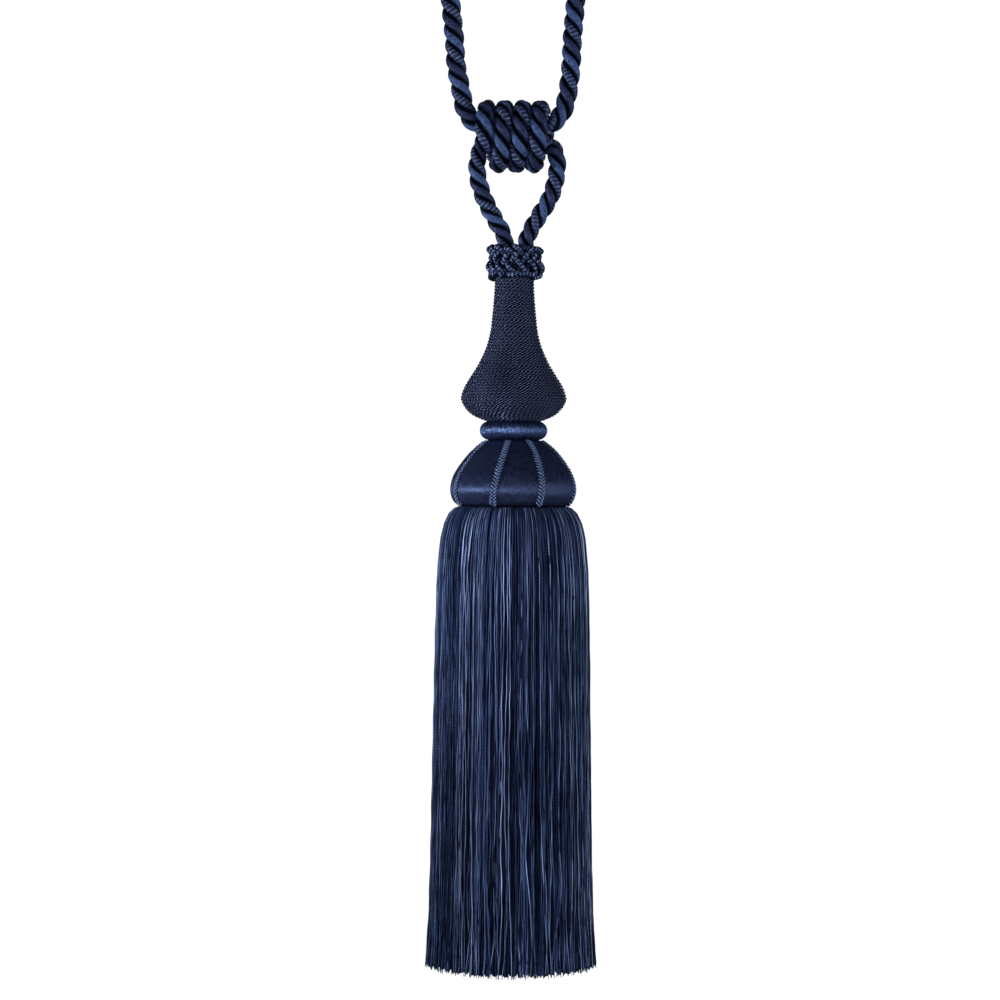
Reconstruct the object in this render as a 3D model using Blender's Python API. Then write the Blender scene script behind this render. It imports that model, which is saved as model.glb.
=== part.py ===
"""A key tassel: cord loop, slide knot, wound head and cut skirt.

Metres, +Z up, the front faces -Y. The origin is the inner top of the loop, where the tassel hangs,
and everything below it has a negative height. The round pieces share the Z axis.
"""
import math
import random

import bmesh
import bpy
from mathutils import Vector

MM = 0.001
GAP = 0.3 * MM            # clearance between neighbouring pieces
MERGE = 0.001 * MM        # seam weld distance

# --- twisted cord -----------------------------------------------------------------------------
PLIES = 3
CORD_LAY = 19.3 * MM      # length of one full turn of the twist, laid to the left
STEPS_PER_LAY = 9         # sections in one full turn
CREST_HALF_ANGLE = math.radians(22.0)
GROOVE_DEPTH = 0.30       # share of the cord's radius lost between two plies

# The loop's route, from the left end in the neck, up through the knot, round and back (mm).
CORD_ROUTE = (
    # x, y, z, radius
    (-4.0, 0.0, -149.5, 3.6),
    (-3.8, 0.0, -146.8, 3.6),
    (-3.7, 0.0, -144.4, 3.6),
    (-4.8, 0.0, -139.9, 3.7),
    (-8.7, 0.0, -133.1, 3.8),
    (-13.2, 0.0, -124.3, 3.85),
    (-15.7, 0.0, -115.3, 3.85),
    (-15.6, 0.0, -107.8, 3.75),
    (-13.1, 0.0, -102.9, 3.6),
    (-6.7, 2.75, -101.6, 3.6),
    (-0.3, 3.9, -98.9, 3.6),
    (6.1, 2.75, -96.2, 3.6),
    (12.5, 0.0, -94.9, 3.6),
    (17.1, 0.0, -92.2, 3.95),
    (20.4, 0.0, -86.9, 4.2),
    (22.2, 0.0, -79.0, 4.2),
    (23.3, 0.0, -68.5, 4.2),
    (23.8, 0.0, -57.5, 4.2),
    (25.1, 0.0, -41.6, 4.2),
    (26.4, 0.0, -23.4, 4.2),
    (23.6, 0.0, -11.0, 4.0),
    (19.3, 0.0, -4.7, 3.7),
    (15.2, 0.0, -1.0, 3.7),
    (9.3, 0.0, 2.2, 4.0),
    (-1.15, 0.0, 4.2, 4.2),
    (-14.9, 0.0, 0.5, 4.2),
    (-25.0, 0.0, -9.6, 4.2),
    (-28.8, 0.0, -23.4, 4.2),
    (-27.5, 0.0, -41.6, 4.2),
    (-25.8, 0.0, -57.5, 4.2),
    (-25.0, 0.0, -68.5, 4.2),
    (-23.0, 0.0, -79.0, 4.2),
    (-21.3, 0.0, -86.9, 4.2),
    (-18.2, 0.0, -92.5, 3.95),
    (-14.0, 0.0, -95.2, 3.6),
    (-7.3, -2.75, -96.2, 3.6),
    (-0.7, -3.9, -98.9, 3.6),
    (6.0, -2.75, -101.6, 3.6),
    (12.5, 0.0, -102.7, 3.6),
    (16.3, 0.0, -104.2, 3.75),
    (17.6, 0.0, -108.8, 3.85),
    (17.4, 0.0, -115.3, 3.85),
    (14.9, 0.0, -124.3, 3.85),
    (9.6, 0.0, -133.1, 3.8),
    (5.9, 0.0, -139.9, 3.7),
    (4.6, 0.0, -144.4, 3.6),
    (4.5, 0.0, -146.8, 3.6),
    (4.4, 0.0, -149.5, 3.6),
)

# --- whipping on the loop's shoulder ------------------------------------------------------------
WHIPPING_FROM = (20.4, -6.0)      # x, z of its two ends on the cord (mm)
WHIPPING_TO = (13.9, 0.0)
WHIPPING_BORE = 4.05 * MM
WHIPPING_RADIUS = 4.6 * MM
WHIPPING_SIDES = 14
WHIPPING_STEPS = 4

# --- slide knot: turns about a level axis along X -------------------------------------------------
KNOT_AXIS_Z = -98.9 * MM
KNOT_TOP_X = 10.6 * MM            # the right-hand turn where it passes over the top
KNOT_PITCH = 7.43 * MM
KNOT_LEAN = 0.63 * MM             # how far the underside of a turn stands to the right of its lead
KNOT_HELIX_RADIUS = 11.6 * MM
KNOT_CORD_RADIUS = 3.5 * MM
KNOT_START = -100.0               # degrees past the top, going forward and down
KNOT_END = 1210.0
KNOT_TAPER = 24.0                 # degrees over which each end narrows
KNOT_END_RADIUS = 1.9 * MM

# --- neck ruff ------------------------------------------------------------------------------------
RUFF_X = 0.33 * MM
RUFF_TOP = -144.7 * MM
RUFF_FOOT = -159.1 * MM
RUFF_BORE = 9.0 * MM
RUFF_RADIUS = 11.1 * MM
RUFF_KNOT_RELIEF = 1.2 * MM
RUFF_COLUMNS = 48
RUFF_OUTER_ROWS = 7

# --- turned moulds: height and radius of their outlines (mm) ----------------------------------------
BELL_OUTLINE = (
    # z, radius
    (-149.9, 8.1),
    (-159.6, 8.2),
    (-167.6, 8.6),
    (-174.3, 9.2),
    (-181.0, 10.0),
    (-187.7, 11.8),
    (-194.5, 14.9),
    (-201.2, 19.0),
    (-204.5, 20.9),
    (-207.9, 22.0),
    (-209.6, 22.1),
    (-212.9, 20.5),
    (-215.5, 17.9),
    (-217.1, 14.9),
    (-218.15, 11.6),
)
RING_CENTRE_Z = -222.4 * MM
RING_CORE_RADIUS = 10.0 * MM
RING_BEAD_RADIUS = 3.95 * MM
RING_RADIUS = 14.2 * MM
RING_ARC_POINTS = 8
DOME_OUTLINE = (
    # z, radius
    (-226.65, 11.4),
    (-228.1, 14.0),
    (-231.8, 18.4),
    (-236.9, 22.5),
    (-241.9, 25.4),
    (-247.0, 26.5),
    (-250.7, 25.8),
    (-252.8, 24.5),
    (-253.9, 22.6),
    (-254.1, 21.0),
)
TURNED_STEPS = 32

# --- braids on the dome ---------------------------------------------------------------------------
# Where each braid lies, in degrees from the front and positive to the right: laid by hand,
# so they stand a little out of true.
BRAIDS = (
    # at the top, at the foot
    (-58.0, -65.0),
    (-10.0, -20.0),
    (29.0, 25.0),
    (73.0, 71.0),
    (118.0, 116.0),
    (160.0, 161.0),
    (205.0, 206.0),
    (250.0, 250.0),
)
BRAID_WIDTH = 2.9 * MM
BRAID_THICKNESS = 0.75 * MM
BRAID_TOP_Z = -227.7 * MM
BRAID_FOOT_Z = -253.0 * MM
BRAID_STEPS = 12

# --- skirt ----------------------------------------------------------------------------------------
SKIRT_TOP_Z = -254.4 * MM
SKIRT_ROOT_Z = -257.0 * MM
SKIRT_FOOT_Z = -446.7 * MM
SKIRT_OUTLINE = (
    # z, radius
    (-254.4, 23.6),
    (-257.0, 27.0),
    (-261.5, 29.2),
    (-267.0, 30.5),
    (-280.0, 31.9),
    (-310.0, 32.7),
    (-398.0, 34.0),
    (-426.0, 34.7),
    (-446.7, 36.0),
)
LOCK_RINGS = (
    # locks, inner and outer share of the skirt's radius, heights (mm) of the locks' joints
    (60, 0.865, 1.0, (-261.5, -267.0, -280.0, -398.0)),
    (48, 0.695, 0.845, (-280.0,)),
    (36, 0.525, 0.675, (-280.0,)),
    (24, 0.355, 0.505, (-280.0,)),
    (12, 0.170, 0.335, (-280.0,)),
    (4, 0.035, 0.150, (-280.0,)),
)
LOCK_GAP = 0.40 * MM
LOCK_RAGGED = 1.6 * MM            # how far the cut ends differ
LOCK_FLARE = 0.012                # share by which some outer locks stand out at the foot
SEED = 7


def clear_scene():
    for obj in list(bpy.data.objects):
        bpy.data.objects.remove(obj, do_unlink=True)


def finish(name, roughness, base_color):
    """A plain material for one piece."""
    mat = bpy.data.materials.new(name)
    mat.use_nodes = True
    shader = mat.node_tree.nodes["Principled BSDF"]
    shader.inputs["Base Color"].default_value = (*base_color, 1.0)
    shader.inputs["Roughness"].default_value = roughness
    shader.inputs["Metallic"].default_value = 0.0
    return mat


def add_piece(name, bm, mat, smooth=True):
    bmesh.ops.recalc_face_normals(bm, faces=bm.faces)
    if bm.calc_volume(signed=True) < 0:
        bmesh.ops.reverse_faces(bm, faces=bm.faces)
    mesh = bpy.data.meshes.new(name)
    bm.to_mesh(mesh)
    bm.free()
    if smooth:
        mesh.shade_smooth()
        mesh.set_sharp_from_angle(angle=math.radians(35.0))
    mesh.materials.append(mat)
    obj = bpy.data.objects.new(name, mesh)
    bpy.context.scene.collection.objects.link(obj)
    return obj


def catmull_rom(rows, row, share):
    """The smooth value a share of the way from one row of a table to the next."""
    last = len(rows) - 1
    before, start, end, after = (rows[min(max(row + k, 0), last)] for k in (-1, 0, 1, 2))
    value = []
    for a, b, c, d in zip(before, start, end, after):
        bend = (2 * a - 5 * b + 4 * c - d) * share ** 2 + (3 * b - a - 3 * c + d) * share ** 3
        value.append(0.5 * (2 * b + (c - a) * share + bend))
    return value


def smooth_route(rows, spacing):
    """Rows of a route read off at an even spacing along its smooth curve."""
    fine = [catmull_rom(rows, row, part / 16) for row in range(len(rows) - 1) for part in range(16)]
    fine.append(list(rows[-1]))
    travelled = [0.0]
    for a, b in zip(fine, fine[1:]):
        travelled.append(travelled[-1] + math.dist(a[:3], b[:3]))
    steps = round(travelled[-1] / spacing)
    even, k = [], 0
    for step in range(steps + 1):
        distance = travelled[-1] * step / steps
        while k < len(fine) - 2 and travelled[k + 1] < distance:
            k += 1
        share = (distance - travelled[k]) / (travelled[k + 1] - travelled[k])
        even.append([a + (b - a) * share for a, b in zip(fine[k], fine[k + 1])])
    return even


def outline_radius(outline, z):
    """Radius of an outline table at a height, both in metres."""
    for (z_a, r_a), (z_b, r_b) in zip(outline, outline[1:]):
        if z >= z_b * MM:
            return MM * (r_a + (r_b - r_a) * (z / MM - z_a) / (z_b - z_a))
    return outline[-1][1] * MM


def sheet_of(rows, columns, place, close_rows=False):
    """A grid wrapped into a tube by place(row, column), its seam welded.

    Open ends are capped with one face each. With close_rows the last row meets the first.
    """
    bm = bmesh.new()
    bmesh.ops.create_grid(bm, x_segments=columns, y_segments=rows, size=0.5)
    for vert in bm.verts:
        column = round((vert.co.x + 0.5) * columns)
        row = round((vert.co.y + 0.5) * rows)
        vert.co = place(row % rows if close_rows else row, column % columns)
    bmesh.ops.remove_doubles(bm, verts=bm.verts, dist=MERGE)
    rims = [edge for edge in bm.edges if edge.is_boundary]
    if rims:
        bmesh.ops.holes_fill(bm, edges=rims, sides=columns)
    return bm


def twisted_section():
    """Angle and radius share of each point of the cord's section: two on a ply, one in a groove."""
    points = []
    for ply in range(PLIES):
        middle = 2 * math.pi * ply / PLIES
        points.append((middle - CREST_HALF_ANGLE, 1.0))
        points.append((middle + CREST_HALF_ANGLE, 1.0))
        points.append((middle + math.pi / PLIES, 1.0 - GROOVE_DEPTH))
    return points


def twisted_cord(stations):
    """A cord from stations of centre, tangent, outward side, radius and turns of twist."""
    section = twisted_section()

    def place(row, column):
        centre, tangent, side, radius, turns = stations[row]
        angle, share = section[column]
        angle -= 2 * math.pi * turns
        across = tangent.cross(side).normalized()
        return centre + radius * share * (math.cos(angle) * side + math.sin(angle) * across)

    return sheet_of(len(stations) - 1, len(section), place)


def make_cord_loop(mat):
    rows = [[value * MM for value in row] for row in CORD_ROUTE]
    route = smooth_route(rows, CORD_LAY / STEPS_PER_LAY)
    front = Vector((0.0, -1.0, 0.0))
    stations = []
    for k, (x, y, z, radius) in enumerate(route):
        ahead = Vector(route[min(k + 1, len(route) - 1)][:3])
        behind = Vector(route[max(k - 1, 0)][:3])
        tangent = (ahead - behind).normalized()
        side = (front - tangent * front.dot(tangent)).normalized()
        stations.append((Vector((x, y, z)), tangent, side, radius, k / STEPS_PER_LAY))
    return add_piece("cord_loop", twisted_cord(stations), mat)


def make_slide_knot(mat):
    turn_length = math.hypot(2 * math.pi * KNOT_HELIX_RADIUS, KNOT_PITCH)
    steps = round((KNOT_END - KNOT_START) / 360 * turn_length / CORD_LAY * STEPS_PER_LAY)
    stations = []
    for step in range(steps + 1):
        degrees = KNOT_START + (KNOT_END - KNOT_START) * step / steps
        turn = math.radians(degrees)
        narrow = max(0.0, 1 - min(degrees - KNOT_START, KNOT_END - degrees) / KNOT_TAPER)
        radius = KNOT_CORD_RADIUS + (KNOT_END_RADIUS - KNOT_CORD_RADIUS) * narrow ** 2
        outward = Vector((0.0, -math.sin(turn), math.cos(turn)))
        x = KNOT_TOP_X - KNOT_PITCH * degrees / 360 + KNOT_LEAN * (1 - math.cos(turn))
        centre = KNOT_HELIX_RADIUS * outward + Vector((x, 0.0, KNOT_AXIS_Z))
        lead = (-KNOT_PITCH / (2 * math.pi) + KNOT_LEAN * math.sin(turn)) / KNOT_HELIX_RADIUS
        tangent = Vector((lead, -math.cos(turn), -math.sin(turn))).normalized()
        side = (outward - tangent * outward.dot(tangent)).normalized()
        stations.append((centre, tangent, side, radius, step / STEPS_PER_LAY))
    return add_piece("slide_knot", twisted_cord(stations), mat)


def make_whipping(mat):
    """A thin sleeve bent along the cord between its two ends."""
    rows = [[value * MM for value in row] for row in CORD_ROUTE]
    route = [Vector(row[:3]) for row in smooth_route(rows, MM)]
    ends = [Vector((x * MM, 0.0, z * MM)) for x, z in (WHIPPING_FROM, WHIPPING_TO)]
    first, last = (min(range(len(route)), key=lambda k: (route[k] - end).length) for end in ends)
    sides = [first + (last - first) * step / WHIPPING_STEPS for step in range(WHIPPING_STEPS + 1)]
    outline = [(at, WHIPPING_RADIUS) for at in sides] + [(at, WHIPPING_BORE) for at in reversed(sides)]

    def place(row, column):
        at, radius = outline[row]
        centre = route[int(at)].lerp(route[int(at) + 1], at - int(at))
        tangent = (route[int(at) + 2] - route[int(at) - 1]).normalized()
        front = Vector((0.0, -1.0, 0.0))
        angle = 2 * math.pi * column / WHIPPING_SIDES
        return centre + radius * (math.cos(angle) * front + math.sin(angle) * tangent.cross(front))

    bm = sheet_of(len(outline), WHIPPING_SIDES, place, close_rows=True)
    return add_piece("loop_whipping", bm, mat)


def make_neck_ruff(mat):
    """A collar whose outer side is raised where a strand of the knot crosses over another."""
    middle = (RUFF_TOP + RUFF_FOOT) / 2
    half = (RUFF_TOP - RUFF_FOOT) / 2
    bore_heights = (-0.8 * half, 0.8 * half)

    def place(row, column):
        around = 2 * math.pi * column / RUFF_COLUMNS
        if row < RUFF_OUTER_ROWS:
            across = math.pi * (row + 0.5) / RUFF_OUTER_ROWS
            height = half * math.cos(across)
            bulge = math.sqrt(math.sin(across))
            crossing = (row + column) % 2
            radius = RUFF_BORE + (RUFF_RADIUS - RUFF_BORE + RUFF_KNOT_RELIEF * crossing) * bulge
        else:
            height = bore_heights[row - RUFF_OUTER_ROWS]
            radius = RUFF_BORE
        return Vector((RUFF_X + radius * math.cos(around), radius * math.sin(around), middle + height))

    bm = sheet_of(RUFF_OUTER_ROWS + len(bore_heights), RUFF_COLUMNS, place, close_rows=True)
    return add_piece("neck_ruff", bm, mat)


def turned(name, outline, mat):
    """A solid of revolution from (z, radius) points, top to bottom, closed by its two flats."""
    bm = bmesh.new()
    points = [(outline[0][0], 0.0), *outline, (outline[-1][0], 0.0)]
    verts = [bm.verts.new((radius, 0.0, z)) for z, radius in points]
    edges = [bm.edges.new(pair) for pair in zip(verts, verts[1:])]
    bmesh.ops.spin(bm, geom=verts + edges, axis=(0, 0, 1), cent=(0, 0, 0), angle=2 * math.pi,
                   steps=TURNED_STEPS, use_merge=True)
    bmesh.ops.remove_doubles(bm, verts=bm.verts, dist=MERGE)
    return add_piece(name, bm, mat)


def make_ring(mat):
    outline = []
    for k in range(RING_ARC_POINTS):
        angle = math.pi / 2 - math.pi * k / (RING_ARC_POINTS - 1)
        reach = RING_RADIUS - RING_CORE_RADIUS
        outline.append((RING_CENTRE_Z + RING_BEAD_RADIUS * math.sin(angle),
                        RING_CORE_RADIUS + reach * math.cos(angle)))
    return turned("ring", outline, mat)


def make_braid(number, top_angle, foot_angle, mat):
    """One flat braid, from under the ring down the dome to its lower edge."""
    line = []
    for step in range(BRAID_STEPS + 1):
        share = step / BRAID_STEPS
        z = BRAID_TOP_Z + (BRAID_FOOT_Z - BRAID_TOP_Z) * share
        facing = math.radians(top_angle + (foot_angle - top_angle) * share - 90.0)
        radius = outline_radius(DOME_OUTLINE, z)
        line.append(Vector((radius * math.cos(facing), radius * math.sin(facing), z)))

    def place(row, column):
        tangent = (line[min(row + 1, BRAID_STEPS)] - line[max(row - 1, 0)]).normalized()
        aside = Vector((-line[row].y, line[row].x, 0.0)).normalized()
        normal = tangent.cross(aside).normalized()
        lift = GAP if column in (0, 3) else GAP + BRAID_THICKNESS
        across = -0.5 if column in (0, 1) else 0.5
        return line[row] + normal * lift + aside * BRAID_WIDTH * across

    bm = sheet_of(BRAID_STEPS, 4, place)
    return add_piece(f"braid_{number}", bm, mat)


def circle_of(bm, count, radius, z):
    made = bmesh.ops.create_circle(bm, segments=count, radius=radius, cap_ends=False)
    bmesh.ops.translate(bm, verts=made["verts"], vec=(0, 0, z))
    return list({edge for vert in made["verts"] for edge in vert.link_edges})


def make_skirt(mat):
    """The fringe's head, with rings of square locks drawn down from its underside."""
    random.seed(SEED)
    bm = bmesh.new()
    root_radius = outline_radius(SKIRT_OUTLINE, SKIRT_ROOT_Z)
    top = circle_of(bm, LOCK_RINGS[0][0], SKIRT_OUTLINE[0][1] * MM, SKIRT_TOP_Z)
    bmesh.ops.holes_fill(bm, edges=top, sides=LOCK_RINGS[0][0])
    outside = top
    rings = []
    for number, (count, inner, outer, joints) in enumerate(LOCK_RINGS):
        # the circles are bridged as a stepped cone, whose loops can't be mistaken, then laid flat
        step_z = SKIRT_ROOT_Z - 2 * number * MM
        rim = circle_of(bm, count, root_radius * outer, step_z)
        bmesh.ops.bridge_loops(bm, edges=outside + rim)
        outside = circle_of(bm, count, root_radius * inner, step_z - MM)
        cells = bmesh.ops.bridge_loops(bm, edges=rim + outside)["faces"]
        rings.append((cells, joints))
    bmesh.ops.holes_fill(bm, edges=outside, sides=LOCK_RINGS[-1][0])
    for vert in bm.verts:
        vert.co.z = max(vert.co.z, SKIRT_ROOT_Z)
    bmesh.ops.recalc_face_normals(bm, faces=bm.faces)
    for number, (cells, joints) in enumerate(rings):
        bmesh.ops.inset_individual(bm, faces=cells, thickness=LOCK_GAP / 2, use_even_offset=True)
        heights = [z * MM for z in joints]
        ends = [SKIRT_FOOT_Z + LOCK_RAGGED * random.random() for _ in cells]
        flares = [1.0 + (LOCK_FLARE * random.random() if number == 0 else 0.0) for _ in cells]
        for level in range(len(heights) + 1):
            above = heights[level - 1] if level else SKIRT_ROOT_Z
            cells = bmesh.ops.extrude_discrete_faces(bm, faces=cells)["faces"]
            for cell, end, flare in zip(cells, ends, flares):
                z = heights[level] if level < len(heights) else end
                grow = outline_radius(SKIRT_OUTLINE, z) / outline_radius(SKIRT_OUTLINE, above)
                grow *= flare if level == len(heights) else 1.0
                for vert in cell.verts:
                    vert.co = Vector((vert.co.x * grow, vert.co.y * grow, z))
    return add_piece("skirt", bm, mat, smooth=False)


def main():
    clear_scene()
    cord = finish("twisted_cord", 0.55, (0.020, 0.030, 0.090))
    gimp = finish("ribbed_gimp", 0.60, (0.020, 0.028, 0.080))
    winding = finish("cord_winding", 0.65, (0.013, 0.017, 0.045))
    silk = finish("silky_yarn", 0.40, (0.050, 0.090, 0.240))
    satin = finish("satin_yarn", 0.35, (0.015, 0.022, 0.065))
    plait = finish("plaited_braid", 0.50, (0.045, 0.080, 0.200))
    fringe = finish("fringe_yarn", 0.50, (0.018, 0.028, 0.085))
    make_cord_loop(cord)
    make_whipping(gimp)
    make_slide_knot(cord)
    make_neck_ruff(gimp)
    turned("bell", [(z * MM, radius * MM) for z, radius in BELL_OUTLINE], winding)
    make_ring(silk)
    turned("dome", [(z * MM, radius * MM) for z, radius in DOME_OUTLINE], satin)
    for number, (top_angle, foot_angle) in enumerate(BRAIDS, start=1):
        make_braid(number, top_angle, foot_angle, plait)
    make_skirt(fringe)


main()
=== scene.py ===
"""Looks of the key tassel: plied cord loop, slide knot, wound head, braided dome and cut fringe.

Metres, +Z up, the front faces -Y. Named sizes and tables are in millimetres and degrees, and
those of the floor and the lights in metres.
"""
import math
import random
from collections import namedtuple

import bmesh
import bpy
from mathutils import Matrix, Vector


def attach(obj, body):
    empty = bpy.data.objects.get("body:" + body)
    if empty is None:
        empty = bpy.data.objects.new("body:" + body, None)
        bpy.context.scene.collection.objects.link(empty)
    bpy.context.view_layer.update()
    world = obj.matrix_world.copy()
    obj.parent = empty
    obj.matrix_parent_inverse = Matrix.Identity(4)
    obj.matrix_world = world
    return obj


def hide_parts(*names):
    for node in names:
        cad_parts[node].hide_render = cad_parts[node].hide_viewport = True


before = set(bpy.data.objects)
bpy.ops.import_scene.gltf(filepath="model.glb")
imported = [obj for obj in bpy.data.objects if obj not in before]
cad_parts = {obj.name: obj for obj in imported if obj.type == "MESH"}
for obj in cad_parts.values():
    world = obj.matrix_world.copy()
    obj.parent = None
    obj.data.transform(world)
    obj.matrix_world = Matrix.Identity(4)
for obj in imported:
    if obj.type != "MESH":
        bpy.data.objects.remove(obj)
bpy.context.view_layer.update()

MM = 0.001
FULL_TURN = 2 * math.pi
MERGE = 0.0005 * MM
FRONT = Vector((0.0, -1.0, 0.0))
SEED = 11

# --- camera and light ---
CAMERA_PLACE = (-5.544 * MM, -1137.0 * MM, -251.58 * MM)
CAMERA_LENS = 97.46
CAMERA_SENSOR = 36.0
CAMERA_LEAN = 0.0055  # radians
FLOOR_Z = -1.42
FLOOR_RADIUS = 3.2
FLOOR_SIDES = 96
WHITE_LEVEL = 1.05  # how bright the camera sees the floor and the room
SOFT_LIGHTS = (
    # name, place, height that it is aimed at, width, height, spread in degrees, watts
    ("front_softbox", (-0.25, -2.2, -0.50), -0.25, 1.9, 1.1, 180.0, 24.0),
    ("left_softbox", (-1.50, -0.40, -0.29), -0.21, 0.17, 0.26, 21.0, 0.47),
    ("left_fill", (-1.8, -0.7, 0.20), -0.25, 0.7, 1.0, 180.0, 2.5),
    ("right_softbox", (1.9, -0.8, -0.30), -0.25, 0.8, 1.4, 180.0, 29.0),
    ("back_softbox", (0.2, 2.3, 0.10), -0.25, 0.9, 1.0, 180.0, 20.0),
    ("floor_bounce", (0.0, -0.55, -1.30), -0.44, 0.9, 0.9, 180.0, 2.0),
)
ROOM_LIGHT = 0.045  # what the white room adds to the lamps

# --- cord loop ---
CORD_LAY = 19.3  # length of one full turn of the twist
CORD_ROUTE = (
    # x, y, z, radius, from the left end in the neck, up through the knot, round and back
    (-4.0, 0.0, -149.5, 3.6),
    (-3.8, 0.0, -146.8, 3.6),
    (-3.7, 0.0, -144.4, 3.6),
    (-4.8, 0.0, -139.9, 3.7),
    (-8.7, 0.0, -133.1, 3.8),
    (-13.2, 0.0, -124.3, 3.85),
    (-15.7, 0.0, -115.3, 3.85),
    (-15.6, 0.0, -107.8, 3.75),
    (-13.1, 0.0, -102.9, 3.6),
    (-6.7, 2.75, -101.6, 3.6),
    (-0.3, 3.9, -98.9, 3.6),
    (6.1, 2.75, -96.2, 3.6),
    (12.5, 0.0, -94.9, 3.6),
    (17.1, 0.0, -92.2, 3.95),
    (20.4, 0.0, -86.9, 4.2),
    (22.2, 0.0, -79.0, 4.2),
    (23.3, 0.0, -68.5, 4.2),
    (23.8, 0.0, -57.5, 4.2),
    (25.1, 0.0, -41.6, 4.2),
    (26.4, 0.0, -23.4, 4.2),
    (23.6, 0.0, -11.0, 4.0),
    (19.3, 0.0, -4.7, 3.7),
    (15.2, 0.0, -1.0, 3.7),
    (9.3, 0.0, 2.2, 4.0),
    (-1.15, 0.0, 4.2, 4.2),
    (-14.9, 0.0, 0.5, 4.2),
    (-25.0, 0.0, -9.6, 4.2),
    (-28.8, 0.0, -23.4, 4.2),
    (-27.5, 0.0, -41.6, 4.2),
    (-25.8, 0.0, -57.5, 4.2),
    (-25.0, 0.0, -68.5, 4.2),
    (-23.0, 0.0, -79.0, 4.2),
    (-21.3, 0.0, -86.9, 4.2),
    (-18.2, 0.0, -92.5, 3.95),
    (-14.0, 0.0, -95.2, 3.6),
    (-7.3, -2.75, -96.2, 3.6),
    (-0.7, -3.9, -98.9, 3.6),
    (6.0, -2.75, -101.6, 3.6),
    (12.5, 0.0, -102.7, 3.6),
    (16.3, 0.0, -104.2, 3.75),
    (17.6, 0.0, -108.8, 3.85),
    (17.4, 0.0, -115.3, 3.85),
    (14.9, 0.0, -124.3, 3.85),
    (9.6, 0.0, -133.1, 3.8),
    (5.9, 0.0, -139.9, 3.7),
    (4.6, 0.0, -144.4, 3.6),
    (4.5, 0.0, -146.8, 3.6),
    (4.4, 0.0, -149.5, 3.6),
)
PARTS_PER_ROW = 16  # small parts that a table's curve is cut into, a row
STATION_STEP = 0.30
PATH_STRIDE = 4  # stations from one point of the cord's path to the next
# Each length of cord runs between two rows of the route and has its plies in its own order.
# The marks are the places (x, z) where the blue ply faces the front, and its turn there.
BLUE, GIMP, NAVY = 0, 1, 2
CORD_LENGTHS = (
    # first row, last row, ply at each third of a turn, marks
    (0, 10, (BLUE, GIMP, NAVY), ((-7.87, -134.15, 0), (-15.28, -116.38, 1))),
    (10, 22, (BLUE, NAVY, GIMP), ((18.29, -87.99, 0), (23.27, -68.08, 1), (24.5, -48.89, 2))),
    (22, 47, (BLUE, GIMP, NAVY),
     ((-26.51, -59.05, 0), (-23.97, -78.25, 1), (17.97, -112.22, 4), (13.02, -130.33, 5))),
)
PLY_OFFSET = 0.575  # share of the cord's radius from its middle to a ply's middle
PLY_DEEP = 0.425  # shares of the cord's radius: half a ply's depth
PLY_WIDE = 0.455  # and half its width
PLY_SIDES = 16
GIMP_SIDES = 12
RINGS_PER_RIB = 4
RIB_DEPTH = 0.02
SATIN_STRIDE = 3  # stations from one ring of a satin ply to the next

# --- slide knot ---
KNOT_AXIS_Z = -98.9
KNOT_TOP_X = 10.6  # the right-hand turn where it passes over the top
KNOT_PITCH = 7.43
KNOT_LEAN = 0.63  # how far a turn's underside stands to the right of its lead
KNOT_HELIX_RADIUS = 11.4
KNOT_CORD_RADIUS = 4.06
KNOT_START = -100.0  # degrees past the top, going forward and down
KNOT_END = 1210.0
KNOT_TAPER = 24.0  # degrees over which each end narrows
KNOT_END_RADIUS = 1.9
# The places, in degrees, where the blue ply faces out, and its turn there.
KNOT_MARKS = ((89.0, 0), (473.0, 4), (835.0, 8), (1151.0, 11))

# --- whipping ---
WHIPPING_FROM = (20.4, -6.0)  # x, z of its two ends on the cord
WHIPPING_TO = (13.9, 0.0)
WHIPPING_RADIUS = 4.32
WHIPPING_THREAD = 0.42  # radius of its thread
WHIPPING_TURNS = 11
WHIPPING_RINGS = 24  # rings of the thread's mesh in a turn
WHIPPING_RING_STEP = 1.2  # length of thread from one to the next
WHIPPING_SIDES = 7
WHIPPING_PLACING = 0.1  # spacing of the places on the cord that it is wound at

# --- neck ruff: a ring knot of one gimp strand ---
RUFF_X = 0.33
RUFF_MIDDLE_Z = -152.0
RUFF_RADIUS = 9.5
RUFF_HALF_HEIGHT = 5.7
RUFF_LEADS = 5
RUFF_BIGHTS = 14
RUFF_LIFT = 1.25  # how far it rises and sinks where it crosses itself
RUFF_LEAN = 0.52  # how far the strands that run down to the right stand out
RUFF_DRAWN_IN = 0.35  # how far its upper and lower turns are drawn in
RUFF_STRAND = 1.36  # the strand's radius
RUFF_STRAY_UP = 0.26  # how far it strays from an even knot
RUFF_STRAY_OUT = 0.10
RUFF_STRAY_ASIDE = 0.030  # radians
RUFF_STRAY_WAVES = 5
RUFF_STRAY_RATES = (9, 41)  # waves in the whole knot
RUFF_RIB_DEPTH = 0.07
RUFF_RINGS = 2000
RUFF_SIDES = 8

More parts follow.
